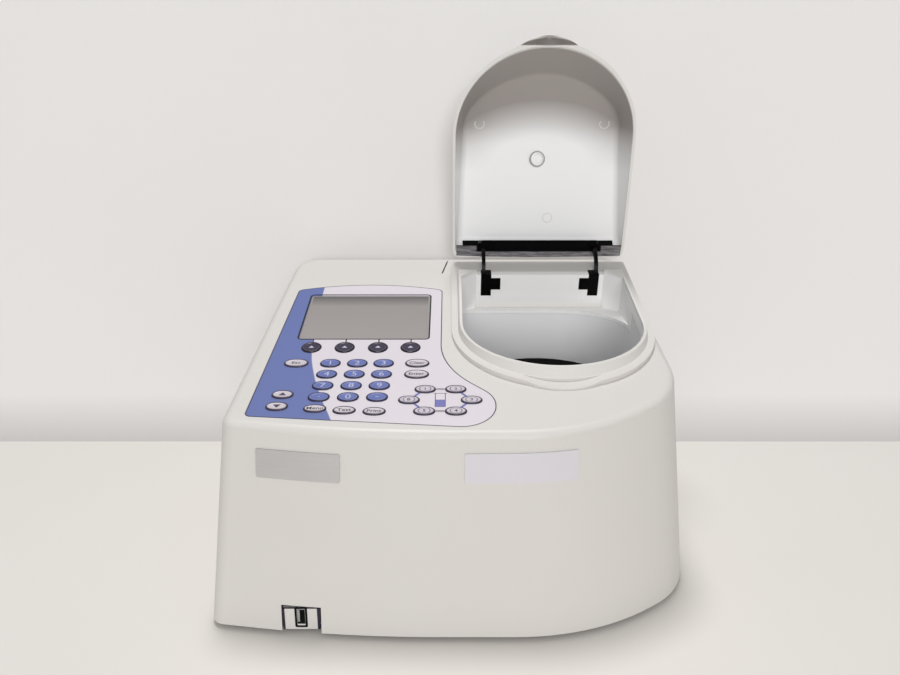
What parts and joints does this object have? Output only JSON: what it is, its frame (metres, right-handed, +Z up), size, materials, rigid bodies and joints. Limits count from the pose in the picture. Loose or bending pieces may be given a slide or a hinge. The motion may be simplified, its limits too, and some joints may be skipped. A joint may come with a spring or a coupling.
{
  "type": "spectrophotometer",
  "caption": "Bench spectrophotometer with a sloping deck, keypad and display, and an arched flip-up lid over a round sample well with a cell carousel.",
  "frame": {"origin": "on the table, under the middle of the housing's footprint", "axes": "+Z up, +Y to the rear, +X to the right of someone facing the keypad"},
  "size_m": [0.4023, 0.3428, 0.4613],
  "materials": {
    "cover": "fine texture",
    "pan": "satin",
    "rubber": "matte",
    "steel": "brushed",
    "well": "satin",
    "black": "satin",
    "film": "printed film",
    "window": "clear",
    "display": "satin",
    "board": "satin",
    "key_dark": "satin",
    "key_blue": "satin",
    "key_light": "satin",
    "aluminium": "satin",
    "plate": "satin",
    "inlet": "satin"
  },
  "bodies": {
    "housing": {"main_cover": "cover", "base_pan": "pan", "rubber_feet": "rubber", "cover_screws": "steel", "sample_well": "well", "hinge_guides": "black", "keypad_overlay": "film", "display_window": "window", "display_module": "display", "key_switch_board": "board", "front_usb_plate": "cover", "front_usb_port": "steel", "face_plates": "plate", "power_inlet": "inlet", "rear_data_port": "steel", "carousel_motor": "steel", "optical_bench": "aluminium", "lamp_module": "aluminium", "filter_motor": "black", "bench_optics": "aluminium", "detector_module": "black", "power_supply": "aluminium", "main_board": "board"},
    "lid": {"sample_lid": "cover", "lid_hinge_bar": "black", "lid_hinge_arms": "black"},
    "carousel": {"cell_carousel": "black"},
    "rocker": {"power_rocker": "inlet"},
    "grating": {"diffraction_grating": "aluminium"},
    "filters": {"filter_wheel": "aluminium"},
    "key_soft_1_body": {"key_soft_1": "key_dark"},
    "key_soft_2_body": {"key_soft_2": "key_dark"},
    "key_soft_3_body": {"key_soft_3": "key_dark"},
    "key_soft_4_body": {"key_soft_4": "key_dark"},
    "key_1_body": {"key_1": "key_blue"},
    "key_2_body": {"key_2": "key_blue"},
    "key_3_body": {"key_3": "key_blue"},
    "key_4_body": {"key_4": "key_blue"},
    "key_5_body": {"key_5": "key_blue"},
    "key_6_body": {"key_6": "key_blue"},
    "key_7_body": {"key_7": "key_blue"},
    "key_8_body": {"key_8": "key_blue"},
    "key_9_body": {"key_9": "key_blue"},
    "key_point_body": {"key_point": "key_blue"},
    "key_0_body": {"key_0": "key_blue"},
    "key_minus_body": {"key_minus": "key_blue"},
    "key_escape_body": {"key_escape": "key_light"},
    "key_clear_body": {"key_clear": "key_light"},
    "key_enter_body": {"key_enter": "key_light"},
    "key_first_body": {"key_first": "key_light"},
    "key_second_body": {"key_second": "key_light"},
    "key_third_body": {"key_third": "key_light"},
    "key_up_body": {"key_up": "key_light"},
    "key_down_body": {"key_down": "key_light"},
    "key_cell_1_body": {"key_cell_1": "key_light"},
    "key_cell_2_body": {"key_cell_2": "key_light"},
    "key_cell_3_body": {"key_cell_3": "key_light"},
    "key_cell_4_body": {"key_cell_4": "key_light"},
    "key_cell_5_body": {"key_cell_5": "key_light"},
    "key_cell_6_body": {"key_cell_6": "key_light"}
  },
  "joints": [
    {"name": "lid_hinge", "type": "hinge", "parent": "housing", "child": "lid", "pos_m": [0.086, 0.1312, 0.23155], "axis": [1, 0, 0], "range_deg": [0, 92.4]},
    {"name": "carousel_spin", "type": "hinge", "parent": "housing", "child": "carousel", "pos_m": [0.08, 0.0055, 0.15], "axis": [0, 0, 1], "continuous": true},
    {"name": "rocker_switch", "type": "hinge", "parent": "housing", "child": "rocker", "pos_m": [-0.118, 0.16362, 0.06331], "axis": [1, 0, 0], "range_deg": [-16, 0]},
    {"name": "grating_turn", "type": "hinge", "parent": "housing", "child": "grating", "pos_m": [-0.13, -0.04, 0.068], "axis": [0, 0, 1], "range_deg": [-20, 20]},
    {"name": "filter_spin", "type": "hinge", "parent": "housing", "child": "filters", "pos_m": [-0.092, 0.0455, 0.096], "axis": [1, 0, 0], "continuous": true},
    {"name": "key_soft_1_press", "type": "slide", "parent": "housing", "child": "key_soft_1_body", "axis": [0, 0.213, -0.977], "range_m": [0, 0.0008], "stiffness_N_per_m": 220, "springref_m": -0.0004},
    {"name": "key_soft_2_press", "type": "slide", "parent": "housing", "child": "key_soft_2_body", "axis": [0, 0.213, -0.977], "range_m": [0, 0.0008], "stiffness_N_per_m": 220, "springref_m": -0.0004},
    {"name": "key_soft_3_press", "type": "slide", "parent": "housing", "child": "key_soft_3_body", "axis": [0, 0.213, -0.977], "range_m": [0, 0.0008], "stiffness_N_per_m": 220, "springref_m": -0.0004},
    {"name": "key_soft_4_press", "type": "slide", "parent": "housing", "child": "key_soft_4_body", "axis": [0, 0.213, -0.977], "range_m": [0, 0.0008], "stiffness_N_per_m": 220, "springref_m": -0.0004},
    {"name": "key_1_press", "type": "slide", "parent": "housing", "child": "key_1_body", "axis": [0, 0.213, -0.977], "range_m": [0, 0.0008], "stiffness_N_per_m": 220, "springref_m": -0.0004},
    {"name": "key_2_press", "type": "slide", "parent": "housing", "child": "key_2_body", "axis": [0, 0.213, -0.977], "range_m": [0, 0.0008], "stiffness_N_per_m": 220, "springref_m": -0.0004},
    {"name": "key_3_press", "type": "slide", "parent": "housing", "child": "key_3_body", "axis": [0, 0.213, -0.977], "range_m": [0, 0.0008], "stiffness_N_per_m": 220, "springref_m": -0.0004},
    {"name": "key_4_press", "type": "slide", "parent": "housing", "child": "key_4_body", "axis": [0, 0.213, -0.977], "range_m": [0, 0.0008], "stiffness_N_per_m": 220, "springref_m": -0.0004},
    {"name": "key_5_press", "type": "slide", "parent": "housing", "child": "key_5_body", "axis": [0, 0.213, -0.977], "range_m": [0, 0.0008], "stiffness_N_per_m": 220, "springref_m": -0.0004},
    {"name": "key_6_press", "type": "slide", "parent": "housing", "child": "key_6_body", "axis": [0, 0.213, -0.977], "range_m": [0, 0.0008], "stiffness_N_per_m": 220, "springref_m": -0.0004},
    {"name": "key_7_press", "type": "slide", "parent": "housing", "child": "key_7_body", "axis": [0, 0.213, -0.977], "range_m": [0, 0.0008], "stiffness_N_per_m": 220, "springref_m": -0.0004},
    {"name": "key_8_press", "type": "slide", "parent": "housing", "child": "key_8_body", "axis": [0, 0.213, -0.977], "range_m": [0, 0.0008], "stiffness_N_per_m": 220, "springref_m": -0.0004},
    {"name": "key_9_press", "type": "slide", "parent": "housing", "child": "key_9_body", "axis": [0, 0.213, -0.977], "range_m": [0, 0.0008], "stiffness_N_per_m": 220, "springref_m": -0.0004},
    {"name": "key_point_press", "type": "slide", "parent": "housing", "child": "key_point_body", "axis": [0, 0.213, -0.977], "range_m": [0, 0.0008], "stiffness_N_per_m": 220, "springref_m": -0.0004},
    {"name": "key_0_press", "type": "slide", "parent": "housing", "child": "key_0_body", "axis": [0, 0.213, -0.977], "range_m": [0, 0.0008], "stiffness_N_per_m": 220, "springref_m": -0.0004},
    {"name": "key_minus_press", "type": "slide", "parent": "housing", "child": "key_minus_body", "axis": [0, 0.213, -0.977], "range_m": [0, 0.0008], "stiffness_N_per_m": 220, "springref_m": -0.0004},
    {"name": "key_escape_press", "type": "slide", "parent": "housing", "child": "key_escape_body", "axis": [0, 0.213, -0.977], "range_m": [0, 0.0008], "stiffness_N_per_m": 220, "springref_m": -0.0004},
    {"name": "key_clear_press", "type": "slide", "parent": "housing", "child": "key_clear_body", "axis": [0, 0.213, -0.977], "range_m": [0, 0.0008], "stiffness_N_per_m": 220, "springref_m": -0.0004},
    {"name": "key_enter_press", "type": "slide", "parent": "housing", "child": "key_enter_body", "axis": [0, 0.213, -0.977], "range_m": [0, 0.0008], "stiffness_N_per_m": 220, "springref_m": -0.0004},
    {"name": "key_first_press", "type": "slide", "parent": "housing", "child": "key_first_body", "axis": [0, 0.213, -0.977], "range_m": [0, 0.0008], "stiffness_N_per_m": 220, "springref_m": -0.0004},
    {"name": "key_second_press", "type": "slide", "parent": "housing", "child": "key_second_body", "axis": [0, 0.213, -0.977], "range_m": [0, 0.0008], "stiffness_N_per_m": 220, "springref_m": -0.0004},
    {"name": "key_third_press", "type": "slide", "parent": "housing", "child": "key_third_body", "axis": [0, 0.213, -0.977], "range_m": [0, 0.0008], "stiffness_N_per_m": 220, "springref_m": -0.0004},
    {"name": "key_up_press", "type": "slide", "parent": "housing", "child": "key_up_body", "axis": [0, 0.213, -0.977], "range_m": [0, 0.0008], "stiffness_N_per_m": 220, "springref_m": -0.0004},
    {"name": "key_down_press", "type": "slide", "parent": "housing", "child": "key_down_body", "axis": [0, 0.213, -0.977], "range_m": [0, 0.0008], "stiffness_N_per_m": 220, "springref_m": -0.0004},
    {"name": "key_cell_1_press", "type": "slide", "parent": "housing", "child": "key_cell_1_body", "axis": [0, 0.213, -0.977], "range_m": [0, 0.0008], "stiffness_N_per_m": 220, "springref_m": -0.0004},
    {"name": "key_cell_2_press", "type": "slide", "parent": "housing", "child": "key_cell_2_body", "axis": [0, 0.213, -0.977], "range_m": [0, 0.0008], "stiffness_N_per_m": 220, "springref_m": -0.0004},
    {"name": "key_cell_3_press", "type": "slide", "parent": "housing", "child": "key_cell_3_body", "axis": [0, 0.213, -0.977], "range_m": [0, 0.0008], "stiffness_N_per_m": 220, "springref_m": -0.0004},
    {"name": "key_cell_4_press", "type": "slide", "parent": "housing", "child": "key_cell_4_body", "axis": [0, 0.213, -0.977], "range_m": [0, 0.0008], "stiffness_N_per_m": 220, "springref_m": -0.0004},
    {"name": "key_cell_5_press", "type": "slide", "parent": "housing", "child": "key_cell_5_body", "axis": [0, 0.213, -0.977], "range_m": [0, 0.0008], "stiffness_N_per_m": 220, "springref_m": -0.0004},
    {"name": "key_cell_6_press", "type": "slide", "parent": "housing", "child": "key_cell_6_body", "axis": [0, 0.213, -0.977], "range_m": [0, 0.0008], "stiffness_N_per_m": 220, "springref_m": -0.0004}
  ]
}
